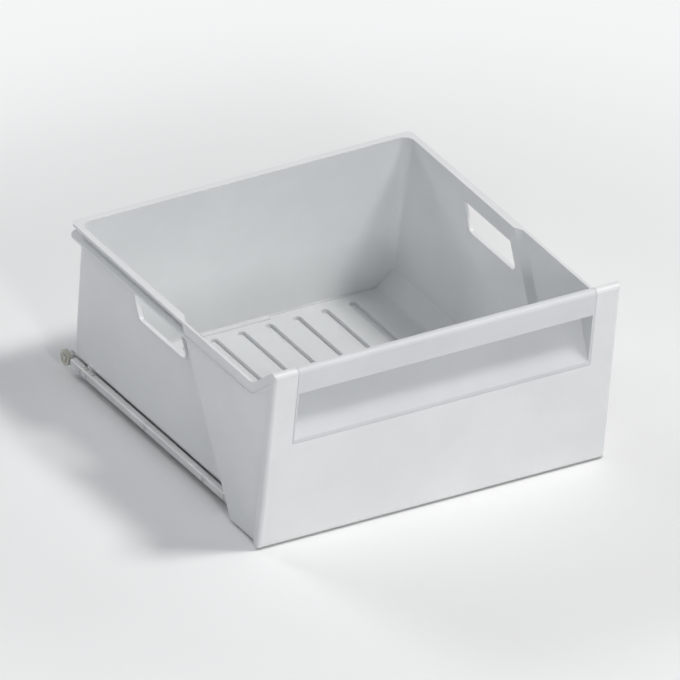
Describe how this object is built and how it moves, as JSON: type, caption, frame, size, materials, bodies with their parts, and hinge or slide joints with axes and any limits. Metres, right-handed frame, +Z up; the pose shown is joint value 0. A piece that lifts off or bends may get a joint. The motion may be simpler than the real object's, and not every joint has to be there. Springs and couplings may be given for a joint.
{
  "type": "fridge crisper drawer",
  "caption": "Open moulded vegetable drawer with a raised front, recessed grip strip, side hand holes, grooved floor and steel runners with rear rollers.",
  "frame": {"origin": "centre of the object's box, on the plane that its floor ribs and front toe stand on", "axes": "+Z up, -Y towards the drawer's front, +X to the right as seen from above with the front towards the viewer"},
  "size_m": [0.427, 0.4961, 0.2339],
  "materials": {
    "tub plastic": "white moulding, satin with a fine grain",
    "grip plastic": "slightly greyer moulding, fine matt grain",
    "runner steel": "white powder-coated sheet steel",
    "fastener steel": "bright zinc plate",
    "roller plastic": "natural nylon"
  },
  "bodies": {
    "drawer": {"tub": "tub plastic", "handle_insert": "grip plastic", "left_rail": "runner steel", "right_rail": "runner steel", "left_roller_bracket": "runner steel", "right_roller_bracket": "runner steel", "left_bracket_rivets": "fastener steel", "right_bracket_rivets": "fastener steel", "left_axle_pin": "fastener steel", "right_axle_pin": "fastener steel"},
    "left_wheel": {"left_roller": "roller plastic"},
    "right_wheel": {"right_roller": "roller plastic"}
  },
  "joints": [
    {"name": "left_roller_spin", "type": "hinge", "parent": "drawer", "child": "left_wheel", "pos_m": [-0.2021, 0.23903, 0.0185], "axis": [1, 0, 0], "continuous": true},
    {"name": "right_roller_spin", "type": "hinge", "parent": "drawer", "child": "right_wheel", "pos_m": [0.2021, 0.23903, 0.0185], "axis": [1, 0, 0], "continuous": true}
  ]
}
